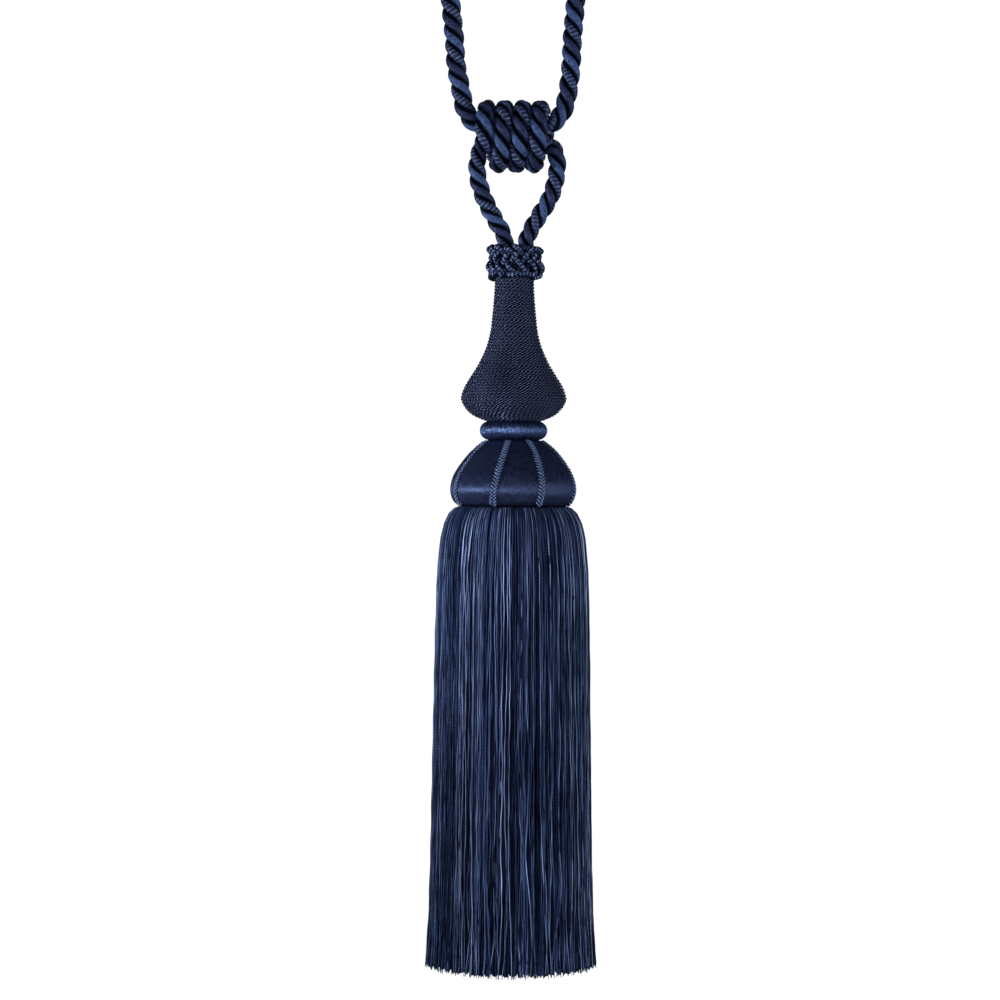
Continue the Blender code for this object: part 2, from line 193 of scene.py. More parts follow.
# --- turned pieces ---
BELL_OUTLINE = (
    # z, radius
    (-149.9, 8.1),
    (-159.6, 8.2),
    (-167.6, 8.6),
    (-174.3, 9.2),
    (-181.0, 10.0),
    (-187.7, 11.8),
    (-194.5, 14.9),
    (-201.2, 19.0),
    (-204.5, 20.9),
    (-207.9, 22.0),
    (-209.6, 22.1),
    (-212.9, 20.5),
    (-215.5, 17.9),
    (-217.1, 14.9),
    (-218.7, 10.6),
)
WINDING_PITCH = 1.37
WINDING_LAY = 1.87  # length of the cord in which its twist repeats
WINDING_ROWS = 5  # rows of mesh in one turn of the winding
WINDING_COLUMNS = 144
WINDING_RELIEF = 0.38  # how far a row's crest stands over the grooves
WINDING_SINK = 0.22  # how far the grooves lie inside the outline
RING_CENTRE_Z = -222.4
RING_CORE_RADIUS = 10.0
RING_BEAD_RADIUS = 3.95
RING_RADIUS = 14.2
RING_ROWS = 20
RING_COLUMNS = 320
DOME_OUTLINE = (
    # z, radius
    (-226.3, 10.0),
    (-226.72, 11.5),
    (-228.1, 14.0),
    (-231.8, 18.4),
    (-236.9, 22.5),
    (-241.9, 25.4),
    (-247.0, 26.5),
    (-250.7, 25.8),
    (-252.8, 24.5),
    (-253.9, 22.6),
    (-254.1, 21.0),
)
DOME_SPACING = 0.9
DOME_COLUMNS = 480
THREAD_RELIEF = 0.05

# --- braids ---
BRAIDS = (
    # degrees from the front, positive to the right, at the top and at the foot
    (-58.0, -65.0),
    (-10.0, -20.0),
    (29.0, 25.0),
    (73.0, 71.0),
    (118.0, 116.0),
    (160.0, 161.0),
    (205.0, 206.0),
    (250.0, 250.0),
)
BRAID_TOP_Z = -227.4
BRAID_FOOT_Z = -253.4
BRAID_PLACING = 0.05  # spacing of the places that its stitches may start at
STITCH_SPACING = 1.44
STITCH_LENGTH = 2.0
STITCH_WIDE = 0.64
STITCH_THICK = 0.85
STITCH_SIDES = 6
# Places along a stitch, from its outer end to its inner end, and its plumpness there.
STITCH_TAPER = ((-1.0, 0.35), (-0.7, 0.8), (-0.3, 1.0), (0.2, 1.0), (0.65, 0.85), (1.0, 0.4))
STITCH_RISE = 0.25  # how far its inner end is raised and its outer end sunk
STITCH_BOW = 0.30  # how far both ends bow in
STITCH_SLANT = 47.0
STITCH_SLANT_STRAY = 5
STITCH_ASIDE = 0.72
STITCH_LIFT = 0.55
STITCH_LIFT_STRAY = 0.05

# --- fringe ---
FRINGE_HEAD = -254.2
FRINGE_FOOT = -446.7
FRINGE_LENGTH = FRINGE_HEAD - FRINGE_FOOT
FRINGE_OUTLINE = (
    # z, radius
    (FRINGE_HEAD, 21.5),
    (-254.9, 24.6),
    (-257.0, 27.0),
    (-261.5, 29.2),
    (-267.0, 30.5),
    (-280.0, 31.9),
    (-310.0, 32.7),
    (-398.0, 34.0),
    (-426.0, 34.7),
    (-447.5, 36.1),
)
SHOULDER_LEVELS = (FRINGE_HEAD, -254.9, -255.9, -257.2, -259.0, -261.2, -264.0, -267.5, -272.0)
OUTER_SHARE = 0.988
FRINGE_LAYERS = (
    # piece, spacing of its rings, its layers: yarns, share of the outline's radius, thickness,
    # tone (kept lower in the inner layers: painted shade), looseness
    ("fringe_outer", 4.0, (
        (205, OUTER_SHARE, (0.27, 0.42), (0.58, 1.0), 1.3),
    )),
    ("fringe_second", 4.0, (
        (260, 0.966, (0.38, 0.60), (0.0, 0.90), 1.2),
    )),
    ("fringe_middle", 6.5, (
        (190, 0.940, (0.80, 1.15), (0.0, 0.46), 0.9),
        (165, 0.910, (0.80, 1.20), (0.0, 0.25), 0.7),
    )),
)
PATTERN_SHIFT = 97.0  # moves a yarn's pattern along by its tone
PAINTED_LIGHT_HEIGHTS = (-340.0, -275.0)  # heights between which the yarns are painted lighter towards the top: painted light
# how much lighter the top of the fringe is painted
PAINTED_TOP_LIGHT_GAIN = 1.2
FRINGE_TONES = (
    # tone, colour
    (0.0, (0.003, 0.005, 0.018)),
    (0.40, (0.007, 0.012, 0.038)),
    (0.60, (0.018, 0.033, 0.098)),
    (0.80, (0.078, 0.124, 0.304)),
    (1.0, (0.290, 0.385, 0.710)),
)
YARN_SIDES = 6
YARN_PLACE_STRAY = 0.45  # share of the yarns' spacing
YARN_SHARE_STRAY = 0.010  # share of the outline's radius
YARN_SWAY = 0.48
YARN_SWAY_RATES = (0.6, 3.4)  # waves in a yarn's length
YARN_SWAY_WAVES = 4
YARN_CRIMP = 0.09
YARN_CRIMP_RATES = (6.0, 13.0)
YARN_DRIFT = 0.9  # how far a yarn's foot hangs aside of its head
YARN_STAND = 0.35  # how far it stands in or out
YARN_STAND_MOST = 0.3  # and how far out at most
YARN_FLICK = 1.3  # how far a cut end may lean aside
YARN_FLICK_FROM = 0.8  # share of the length above which it doesn't
YARN_RAGGED = 2.0  # how far the cut ends differ
YARN_TUCK = 12.0  # how much shorter the inner yarns are cut
YARN_END = 0.5  # the last of a yarn, where its cut turns in
YARN_END_SHARE = 0.7
CORE_SPACING = 1.25
CORE_ROW = 0.866  # a row's height in spacings, with each yarn between two others
CORE_STRAY = 0.2
CORE_REACH = 0.85
CORE_LEVELS = (-262.0, -330.0, -400.0)
CORE_SIDES = 5
CORE_THICKNESS = 1.05
CORE_LOOSENESS = 0.4
# the core's yarns get only the darker tones: painted shade
CORE_TONE = 0.4

# --- colours of highlights ---
YARN_SHINE = (0.34, 0.52, 1.0, 1.0)  # dyed yarn's highlights take its colour
DEEP_SHINE = (0.27, 0.45, 1.0, 1.0)
WHITE = (1.0, 1.0, 1.0, 1.0)

Station = namedtuple("Station", "centre tangent outward radius turns")
Ring = namedtuple("Ring", "centre outward across deep wide")


# --- shaping ---
def catmull_rom(rows, row, share):
    """The smooth value a share of the way from one row of a table to the next."""
    last = len(rows) - 1
    before, start, end, after = (rows[min(max(row + k, 0), last)] for k in (-1, 0, 1, 2))
    value = []
    for a, b, c, d in zip(before, start, end, after):
        bend = (2 * a - 5 * b + 4 * c - d) * share ** 2 + (3 * b - a - 3 * c + d) * share ** 3
        value.append(0.5 * (2 * b + (c - a) * share + bend))
    return value


def fine_route(rows):
    """A table's smooth curve in small parts, and the distance travelled to each."""
    fine = [catmull_rom(rows, row, part / PARTS_PER_ROW)
            for row in range(len(rows) - 1) for part in range(PARTS_PER_ROW)]
    fine.append(list(rows[-1]))
    travelled = [0.0]
    for a, b in zip(fine, fine[1:]):
        travelled.append(travelled[-1] + math.dist(a[:3], b[:3]))
    return fine, travelled


def even_points(fine, travelled, spacing):
    """Points of a curve at an even spacing, as (distance, values)."""
    steps = round(travelled[-1] / spacing)
    even, k = [], 0
    for step in range(steps + 1):
        distance = travelled[-1] * step / steps
        while k < len(fine) - 2 and travelled[k + 1] < distance:
            k += 1
        share = (distance - travelled[k]) / (travelled[k + 1] - travelled[k])
        even.append((distance, [a + (b - a) * share for a, b in zip(fine[k], fine[k + 1])]))
    return even


def read_table(table, at):
    """Linear reading of a table of (place, value), carried on past its ends."""
    rising = table if table[0][0] < table[-1][0] else table[::-1]
    k = 0
    while k < len(rising) - 2 and rising[k + 1][0] < at:
        k += 1
    (a, low), (b, high) = rising[k], rising[k + 1]
    return low + (high - low) * (at - a) / (b - a)


def nearest(places, x, z):
    """The number of the place that lies nearest to x, z as the front shows them."""
    return min(range(len(places)),
               key=lambda k: math.hypot(places[k][0] - x, places[k][2] - z))


def spoke_at(bearing):
    """The level direction at a bearing from the front, positive to the right."""
    return Vector((math.sin(bearing), -math.cos(bearing), 0.0))


def turned_place(radius, bearing, z):
    """A place on a turned piece, in metres."""
    return Vector((radius * math.sin(bearing), -radius * math.cos(bearing), z)) * MM


def mapped_grid(columns, rows):
    """A unit sheet, and the layer of its map."""
    bm = bmesh.new()
    uv = bm.loops.layers.uv.new("strand")
    bmesh.ops.create_grid(bm, x_segments=columns, y_segments=rows, size=0.5, calc_uvs=True)
    return bm, uv


def strand_form(sides, rows, measure):
    """A closed unit tube. u runs round it from the side turned in, and v from 0 to measure."""
    bm, uv = mapped_grid(sides, rows)
    for face in bm.faces:
        for loop in face.loops:
            loop[uv].uv.y *= measure
    for vert in bm.verts:
        around = FULL_TURN * vert.co.x
        vert.co = (math.cos(around), math.sin(around), vert.co.y + 0.5)
    bmesh.ops.remove_doubles(bm, verts=bm.verts, dist=0.2 / max(sides, rows))
    bmesh.ops.holes_fill(bm, edges=[edge for edge in bm.edges if edge.is_boundary], sides=sides)
    bmesh.ops.recalc_face_normals(bm, faces=bm.faces)
    form = bpy.data.meshes.new("strand_form")
    bm.to_mesh(form)
    bm.free()
    return form


def lay_strand(bm, form, rings, material_index=0, tone=0.0):
    """Lays a copy of a strand form along rings, one ring for each of its rows."""
    tones = bm.verts.layers.float.get("tone") or bm.verts.layers.float.new("tone")
    verts_before, faces_before = len(bm.verts), len(bm.faces)
    bm.from_mesh(form)
    bm.verts.ensure_lookup_table()
    rows = len(rings) - 1
    for vert in bm.verts[verts_before:]:
        ring = rings[round(vert.co.z * rows)]
        across, out = vert.co.y * ring.wide, vert.co.x * ring.deep
        vert.co = ring.centre + ring.outward * out + ring.across * across
        vert[tones] = tone
    if material_index:
        bm.faces.ensure_lookup_table()
        for face in bm.faces[faces_before:]:
            face.material_index = material_index


def rings_along(spine):
    """Rings from (centre, side to keep turned out, half depth, half width) along a strand."""
    rings = []
    for k, (centre, side, deep, wide) in enumerate(spine):
        tangent = (spine[min(k + 1, len(spine) - 1)][0] - spine[max(k - 1, 0)][0]).normalized()
        outward = (side - tangent * side.dot(tangent)).normalized()
        rings.append(Ring(centre, outward, tangent.cross(outward), deep, wide))
    return rings


def ribbed(spine, depth):
    """The same spine with a rib every few rings."""
    swell = [0.5 + 0.5 * math.cos(FULL_TURN * k / RINGS_PER_RIB) for k in range(RINGS_PER_RIB)]
    shares = [1 - depth * (1 - swell[k % RINGS_PER_RIB]) for k in range(len(spine))]
    return [(centre, side, deep * share, wide * share)
            for (centre, side, deep, wide), share in zip(spine, shares)]


def lay_plies(bm, stations, order):
    """Three plies twisted round the stations, each in its own material."""
    for third, ply in enumerate(order):
        spine = []
        for station in stations:
            angle = FULL_TURN * (third / 3 - station.turns)
            across = station.tangent.cross(station.outward)
            spoke = math.cos(angle) * station.outward + math.sin(angle) * across
            spine.append((station.centre + PLY_OFFSET * station.radius * spoke, spoke,
                          PLY_DEEP * station.radius, PLY_WIDE * station.radius))
        if ply == GIMP:
            rings = rings_along(ribbed(spine, RIB_DEPTH))
            form = strand_form(GIMP_SIDES, len(rings) - 1, (len(rings) - 1) / RINGS_PER_RIB)
        else:
            rings = rings_along(spine[::SATIN_STRIDE])
            length = sum((a.centre - b.centre).length for a, b in zip(rings, rings[1:]))
            form = strand_form(PLY_SIDES, len(rings) - 1, length / MM)
        lay_strand(bm, form, rings, material_index=ply)


def add_piece(name, bm, materials, nodes):
    """A finished piece that rides on the part and stands for the CAD nodes named."""
    mesh = bpy.data.meshes.new(name)
    bm.to_mesh(mesh)
    bm.free()
    mesh.shade_smooth()
    for material in materials:
        mesh.materials.append(material)
    piece = bpy.data.objects.new(name, mesh)
    bpy.context.scene.collection.objects.link(piece)
    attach(piece, "root")
    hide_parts(*nodes)
    return piece


# --- materials ---
def join_inputs(tree, node, inputs):
    """Gives a node its inputs; each is a number, a colour or another node's socket."""
    for socket, value in inputs.items():
        if isinstance(value, bpy.types.NodeSocket):
            tree.links.new(value, node.inputs[socket])
        else:
            node.inputs[socket].default_value = value
    return node


def add_node(tree, kind, inputs=None, **settings):
    """A node with its settings and inputs."""
    node = tree.nodes.new(kind)
    for name, value in settings.items():
        setattr(node, name, value)
    return join_inputs(tree, node, inputs or {})


def maths(tree, operation, *values):
    """The result of a sum on numbers or sockets."""
    node = add_node(tree, "ShaderNodeMath", dict(enumerate(values)), operation=operation)
    return node.outputs[0]


def mixed(tree, share, low, high):
    """A colour a share of the way from low to high."""
    node = add_node(tree, "ShaderNodeMix", {0: share, 6: low, 7: high}, data_type="RGBA")
    return node.outputs[2]


def tinted(tree, colour, shade):
    """A colour multiplied by a shade."""
    node = add_node(tree, "ShaderNodeMix", {0: 1.0, 6: colour, 7: shade},
                    data_type="RGBA", blend_type="MULTIPLY")
    return node.outputs[2]


def new_group(name, output, inputs):
    """An empty shader node group with its sockets, and the nodes that carry them."""
    group = bpy.data.node_groups.new(name, "ShaderNodeTree")
    for socket, value in inputs.items():
        kind = "NodeSocketColor" if isinstance(value, tuple) else "NodeSocketFloat"
        made = group.interface.new_socket(socket, in_out="INPUT", socket_type=kind)
        made.default_value = value
    kind = "NodeSocketColor" if output == "Color" else "NodeSocketFloat"
    group.interface.new_socket(output, in_out="OUTPUT", socket_type=kind)
    return group, group.nodes.new("NodeGroupInput"), group.nodes.new("NodeGroupOutput")


def strand_map(group):
    """The places round and along a strand, from its own map."""
    place = add_node(group, "ShaderNodeUVMap", uv_map="strand")
    return add_node(group, "ShaderNodeSeparateXYZ", {0: place.outputs[0]}).outputs[:2]


def make_twist_group():
    """Crests of the fine strands that are twisted round a yarn."""
    group, given, result = new_group(
        "fine_twist", "Crest", {"Around": 2.0, "Along": 1.0, "Sharpness": 1.0, "Shift": 0.0})
    u, v = strand_map(group)
    along = maths(group, "MULTIPLY_ADD", v, given.outputs["Along"], given.outputs["Shift"])
    phase = maths(group, "MULTIPLY_ADD", u, given.outputs["Around"], along)
    wave = maths(group, "COSINE", maths(group, "MULTIPLY", phase, FULL_TURN))
    crest = maths(group, "POWER", maths(group, "MULTIPLY_ADD", wave, 0.5, 0.5),
                  given.outputs["Sharpness"])
    group.links.new(crest, result.inputs[0])
    return group


def make_streak_group():
    """Fine threads side by side: a noise drawn out along a yarn."""
    group, given, result = new_group(
        "fine_threads", "Thread", {"Around": 20.0, "Along": 0.2, "Contrast": 1.0, "Shift": 0.0})
    u, v = strand_map(group)
    across = maths(group, "MULTIPLY", u, given.outputs["Around"])
    along = maths(group, "MULTIPLY", v, given.outputs["Along"])
    drawn = add_node(group, "ShaderNodeCombineXYZ",
                     {0: across, 1: along, 2: given.outputs["Shift"]})
    noise = add_node(group, "ShaderNodeTexNoise",
                     {"Vector": drawn.outputs[0], "Scale": 1.0, "Detail": 2.0, "Roughness": 0.6})
    centred = maths(group, "SUBTRACT", noise.outputs[0], 0.5)
    spread = maths(group, "MULTIPLY_ADD", centred, given.outputs["Contrast"], 0.5)
    node = add_node(group, "ShaderNodeClamp", {0: spread})
    group.links.new(node.outputs[0], result.inputs[0])
    return group


def make_sides_group():
    """How far a strand's surface faces out: 1 on its crown and 0 on its sides, where it presses on
    the next; the sides are where shade is painted.
    """
    group, given, result = new_group("shaded_sides", "Open", {"Low": 0.65, "High": 0.95})
    u, _ = strand_map(group)
    wave = maths(group, "COSINE", maths(group, "MULTIPLY", u, FULL_TURN))
    facing = maths(group, "MULTIPLY_ADD", wave, -0.5, 0.5)
    node = add_node(group, "ShaderNodeMapRange",
                    {"Value": facing, "From Min": given.outputs["Low"],
                     "From Max": given.outputs["High"]}, interpolation_type="SMOOTHSTEP")
    group.links.new(node.outputs[0], result.inputs[0])
    return group


def make_dye_group():
    """A colour that is a little uneven, as dyed yarn is."""
    group, given, result = new_group(
        "uneven_dye", "Color", {"Color": WHITE, "Unevenness": 0.2, "Patches": 120.0})
    place = add_node(group, "ShaderNodeTexCoord")
    noise = add_node(group, "ShaderNodeTexNoise",
                     {"Vector": place.outputs["Object"], "Scale": given.outputs["Patches"],
                      "Detail": 3.0})
    centred = maths(group, "SUBTRACT", noise.outputs[0], 0.5)
    value = maths(group, "MULTIPLY_ADD", centred, given.outputs["Unevenness"], 1.0)
    node = add_node(group, "ShaderNodeHueSaturation",
                    {"Color": given.outputs["Color"], "Value": value})
    group.links.new(node.outputs[0], result.inputs[0])
    return group


def use_group(tree, group, **inputs):
    """A group's result for the inputs named."""
    return join_inputs(tree, add_node(tree, "ShaderNodeGroup", node_tree=group), inputs).outputs[0]


def new_material(name, roughness, specular=0.3, stretch=0.0, shine=YARN_SHINE):
    """A material with its shader's constants set; returns it, its tree and its shader.

    Stretch draws its highlights out across the threads of its map.
    """
    material = bpy.data.materials.new(name)
    material.use_nodes = True
    tree = material.node_tree
    shader = tree.nodes["Principled BSDF"]
    shader.inputs["Roughness"].default_value = roughness
    shader.inputs["Specular IOR Level"].default_value = specular
    shader.inputs["Specular Tint"].default_value = shine
    if stretch:
        shader.inputs["Anisotropic"].default_value = stretch
        across = add_node(tree, "ShaderNodeTangent", direction_type="UV_MAP", uv_map="strand")
        tree.links.new(across.outputs[0], shader.inputs["Tangent"])
    return material, tree, shader


def colour_and_relief(tree, shader, colour, height, depth):
    """Joins a colour and a relief of a depth in millimetres to a shader."""
    bump = add_node(tree, "ShaderNodeBump",
                    {"Height": height, "Distance": depth * MM, "Strength": 1.0})
    tree.links.new(colour, shader.inputs["Base Color"])
    tree.links.new(bump.outputs[0], shader.inputs["Normal"])


def paint_side_shade(tree, colour, low, high, dark):
    """The colour with painted shade on its strands' sides."""
    opened = use_group(tree, SIDES, Low=low, High=high)
    share = maths(tree, "MULTIPLY_ADD", opened, 1 - dark, dark)
    return tinted(tree, colour, share)


def satin_ply(name, shade, light):
    """A smooth ply of fine satin filaments."""
    material, tree, shader = new_material(name, 0.46, specular=0.20, stretch=0.3)
    thread = use_group(tree, THREADS, Around=12.0, Along=0.8, Contrast=3.0)
    colour = mixed(tree, thread, shade, light)
    colour = use_group(tree, DYE, Color=colour, Unevenness=0.5, Patches=300.0)
    # painted shade on the ply's sides
    colour = paint_side_shade(tree, colour, 0.70, 0.87, 0.05)
    colour_and_relief(tree, shader, colour, thread, 0.10)
    return material


def ribbed_gimp(name, groove_shade, body, rib_highlight, sharpness, edges, highlight_flecks):
    """A gimp: a satin wrap with fine ribs, with painted shade in the grooves between them and a
    painted highlight, broken into flecks, along each rib's crest.
    """
    material, tree, shader = new_material(name, 0.45, specular=0.35)
    crest = use_group(tree, TWIST, Around=1.0, Along=1.0, Sharpness=sharpness)
    broad = use_group(tree, TWIST, Around=1.0, Along=1.0, Sharpness=0.6)
    around, along, contrast = highlight_flecks
    thread = use_group(tree, THREADS, Around=around, Along=along, Contrast=contrast)
    # painted shade in the grooves between the ribs
    colour = mixed(tree, broad, groove_shade, body)
    # painted highlight along each rib's crest, broken into flecks
    rib_highlight_mask = maths(tree, "MULTIPLY", crest, thread)
    colour = mixed(tree, rib_highlight_mask, colour, rib_highlight)
    colour = use_group(tree, DYE, Color=colour, Unevenness=0.5, Patches=300.0)
    # painted shade on the strand's sides
    colour = paint_side_shade(tree, colour, *edges, 0.05)
    colour_and_relief(tree, shader, colour, maths(tree, "MULTIPLY_ADD", crest, 1.5, thread), 0.08)
    return material


def cord_winding(name, groove_shade, crest_colour):
    """Fine two-ply cord wound in close turns, with painted shade in the grooves between its turns
    and its plies.
    """
    material, tree, shader = new_material(name, 0.40, specular=0.08)
    ply = use_group(tree, TWIST, Around=1 / WINDING_LAY, Along=1.27, Sharpness=3.4)
    row = use_group(tree, TWIST, Around=0.0, Along=1.0, Sharpness=1.0)
    thread = use_group(tree, THREADS, Around=3.2, Along=5.0, Contrast=2.2)
    # the row's wave is high in the grooves, where two turns press together; there and between the
    # plies the colour is painted dark: painted shade
    raised = maths(tree, "MULTIPLY_ADD", row, -0.62, 1.0)
    raised = maths(tree, "MULTIPLY", raised, ply)
    colour = mixed(tree, raised, groove_shade, crest_colour)
    colour = tinted(tree, colour, mixed(tree, thread, (0.5, 0.5, 0.55, 1), (1.4, 1.4, 1.35, 1)))
    colour = use_group(tree, DYE, Color=colour, Unevenness=0.5, Patches=90.0)
    colour_and_relief(tree, shader, colour, ply, 0.30)
    tree.links.new(maths(tree, "MULTIPLY", raised, 0.42), shader.inputs["Metallic"])
    return material


def silky_threads(name, shade, light, roughness, stretch, metallic, threads, along, relief):
    """Silky yarn wound or drawn over a mould, thread beside thread."""
    material, tree, shader = new_material(name, roughness, specular=0.58, stretch=stretch,
                                          shine=DEEP_SHINE)
    shader.inputs["Metallic"].default_value = metallic
    thread = use_group(tree, THREADS, Around=threads, Along=along, Contrast=3.2)
    colour = mixed(tree, thread, shade, light)
    colour = use_group(tree, DYE, Color=colour, Unevenness=0.5, Patches=400.0)
    colour_and_relief(tree, shader, colour, thread, relief)
    return material


def plaited_braid(name, shade, light):
    """Shiny stitches of a flat braid."""
    material, tree, shader = new_material(name, 0.40, specular=0.35)
    thread = use_group(tree, THREADS, Around=10.0, Along=1.5, Contrast=2.4)
    colour = mixed(tree, thread, shade, light)
    colour = use_group(tree, DYE, Color=colour, Unevenness=0.7, Patches=500.0)
    # painted shade on the stitches' sides
    colour = paint_side_shade(tree, colour, 0.70, 0.95, 0.03)
    colour_and_relief(tree, shader, colour, thread, 0.06)
    return material


def fringe_yarn(name):
    """Two-ply yarns in several tones, from dark navy to mid blue."""
    material, tree, shader = new_material(name, 0.36, specular=0.12)
    tone = add_node(tree, "ShaderNodeAttribute", attribute_name="tone")
    # each yarn's pattern starts in its own place
    shift = maths(tree, "MULTIPLY", tone.outputs["Fac"], PATTERN_SHIFT)
    strands = {"Around": 2.0, "Along": 0.85, "Shift": shift}
    ramp = add_node(tree, "ShaderNodeValToRGB", {0: tone.outputs["Fac"]})
    while len(ramp.color_ramp.elements) < len(FRINGE_TONES):
        ramp.color_ramp.elements.new(0.5)
    for element, (at, colour) in zip(ramp.color_ramp.elements, FRINGE_TONES):
        element.position = at
        element.color = (*colour, 1)
    ply = use_group(tree, TWIST, Sharpness=1.0, **strands)
    thread = use_group(tree, THREADS, Around=5.0, Along=0.10, Contrast=3.0, Shift=shift)
    # painted light and shade along a yarn: lengths painted lighter, as if turned to the light, and
    # lengths painted darker, as if turned away
    painted_lit_lengths = use_group(tree, THREADS, Around=0.6, Along=0.04, Contrast=3.4, Shift=shift)
    colour = tinted(tree, ramp.outputs[0],
                    mixed(tree, thread, (0.35, 0.35, 0.40, 1), (1.45, 1.45, 1.4, 1)))
    colour = tinted(tree, colour, mixed(tree, painted_lit_lengths, (0.30, 0.30, 0.34, 1), (1.7, 1.7, 1.6, 1)))
    # painted shade on the yarns' sides
    colour = paint_side_shade(tree, colour, 0.60, 0.97, 0.02)
    # painted light: the yarns are painted lighter towards the top of the fringe
    place = add_node(tree, "ShaderNodeTexCoord")
    height = add_node(tree, "ShaderNodeSeparateXYZ", {0: place.outputs["Object"]}).outputs[2]
    painted_top_light = add_node(tree, "ShaderNodeMapRange",
                     {"Value": height, "From Min": PAINTED_LIGHT_HEIGHTS[0] * MM,
                      "From Max": PAINTED_LIGHT_HEIGHTS[1] * MM, "To Min": 1.0,
                      "To Max": PAINTED_TOP_LIGHT_GAIN}, interpolation_type="SMOOTHSTEP")
    colour = tinted(tree, colour, painted_top_light.outputs[0])
    # a thin bright line along the crown, where the yarn is turned up
    crown = maths(tree, "MULTIPLY", use_group(tree, SIDES, Low=0.88, High=1.0),
                  maths(tree, "MULTIPLY_ADD", ply, 0.5, 0.5))
    crown = maths(tree, "MULTIPLY", crown, maths(tree, "MULTIPLY_ADD", painted_lit_lengths, 0.8, 0.2))
    tree.links.new(maths(tree, "MULTIPLY", crown, 0.55), shader.inputs["Metallic"])
    colour_and_relief(tree, shader, colour, maths(tree, "MULTIPLY_ADD", ply, 0.8, thread), 0.12)
    # the crests of the two plies are the glossiest
    bead = use_group(tree, TWIST, Sharpness=3.0, **strands)
    tree.links.new(maths(tree, "MULTIPLY_ADD", bead, -0.24, 0.46), shader.inputs["Roughness"])
    return material


# --- camera, floor and light ---
def make_camera():
    """A long lens, level, in front of the tassel."""
    camera = bpy.data.objects.new("camera", bpy.data.cameras.new("camera"))
    camera.data.sensor_width = CAMERA_SENSOR
    camera.data.lens = CAMERA_LENS
    camera.data.clip_start = 0.05
    camera.data.clip_end = 50.0
    level = Matrix.Rotation(math.pi / 2, 4, "X")
    lean = Matrix.Rotation(CAMERA_LEAN, 4, "Z")
    camera.matrix_world = Matrix.Translation(CAMERA_PLACE) @ level @ lean
    bpy.context.scene.collection.objects.link(camera)
    bpy.context.scene.camera = camera


def make_floor():
    """A plain floor, as white as the room."""
    bm = bmesh.new()
    bmesh.ops.create_circle(bm, segments=FLOOR_SIDES, radius=FLOOR_RADIUS, cap_ends=True)
    bmesh.ops.translate(bm, verts=bm.verts, vec=(0, 0, FLOOR_Z))
    mesh = bpy.data.meshes.new("pale_floor")
    bm.to_mesh(mesh)
    bm.free()
    material, _, shader = new_material("pale_floor", 0.9, specular=0.1, shine=WHITE)
    shader.inputs["Base Color"].default_value = (0.9, 0.9, 0.9, 1)
    shader.inputs["Emission Color"].default_value = WHITE
    shader.inputs["Emission Strength"].default_value = WHITE_LEVEL
    mesh.materials.append(material)
    floor = bpy.data.objects.new("pale_floor", mesh)
    floor.visible_diffuse = False
    floor.visible_glossy = False
    bpy.context.scene.collection.objects.link(floor)


def make_lights():
    """Softboxes that the camera doesn't see, in a white room."""
    for name, place, aim, width, height, spread, watts in SOFT_LIGHTS:
        lamp = bpy.data.lights.new(name, "AREA")
        lamp.shape = "RECTANGLE"
        lamp.size, lamp.size_y, lamp.energy = width, height, watts
        lamp.spread = math.radians(spread)
        light = bpy.data.objects.new(name, lamp)
        light.location = place
        light.rotation_mode = "QUATERNION"
        towards = Vector((0.0, 0.0, aim)) - Vector(place)
        light.rotation_quaternion = towards.to_track_quat("-Z", "Y")
        light.visible_camera = False
        bpy.context.scene.collection.objects.link(light)
    world = bpy.data.worlds.new("white_room")
    world.use_nodes = True
    tree = world.node_tree
    seen = add_node(tree, "ShaderNodeLightPath").outputs["Is Camera Ray"]
    strength = maths(tree, "MULTIPLY_ADD", seen, WHITE_LEVEL - ROOM_LIGHT, ROOM_LIGHT)
    background = tree.nodes["Background"]
    background.inputs[0].default_value = WHITE
    tree.links.new(strength, background.inputs[1])
    bpy.context.scene.world = world
    bpy.context.scene.view_settings.view_transform = "Standard"


# --- cord loop, knot and whipping ---
def turns_at(distance, marks):
    """The turns of the plies at a distance: as the marks say, and by the lay past the last ones."""
    if distance < marks[0][0]:
        return marks[0][1] - (marks[0][0] - distance) / CORD_LAY
    if distance > marks[-1][0]:
        return marks[-1][1] + (distance - marks[-1][0]) / CORD_LAY
    return read_table(marks, distance)


def cord_stations(fine, travelled, marks):
    """Evenly spaced stations along a length of cord."""
    points = even_points(fine, travelled, STATION_STEP)
    stations = []
    for k, (distance, (x, y, z, radius)) in enumerate(points):
        ahead = Vector(points[min(k + 1, len(points) - 1)][1][:3])
        behind = Vector(points[max(k - 1, 0)][1][:3])
        tangent = (ahead - behind).normalized()
        outward = (FRONT - tangent * FRONT.dot(tangent)).normalized()
        centre = Vector((x, y, z)) * MM
        stations.append(Station(centre, tangent, outward, radius * MM, turns_at(distance, marks)))
    return stations


def make_cord_loop(materials):
    """The cord's three lengths, each of three plies, and the path along its middle."""
    bm = bmesh.new()
    fine, travelled = fine_route(CORD_ROUTE)
    path = []
    for first, last, order, marks in CORD_LENGTHS:
        start, end = first * PARTS_PER_ROW, last * PARTS_PER_ROW + 1
        part = fine[start:end]
        part_travelled = [distance - travelled[start] for distance in travelled[start:end]]
        facing = [(part_travelled[nearest(part, x, z)], turn) for x, z, turn in marks]
        stations = cord_stations(part, part_travelled, facing)
        lay_plies(bm, stations, order)
        path += [station.centre for station in stations[::PATH_STRIDE]]
    path.append(stations[-1].centre)
    cord = add_piece("cord_loop_plies", bm, materials, ["cord_loop"])
    return cord, path


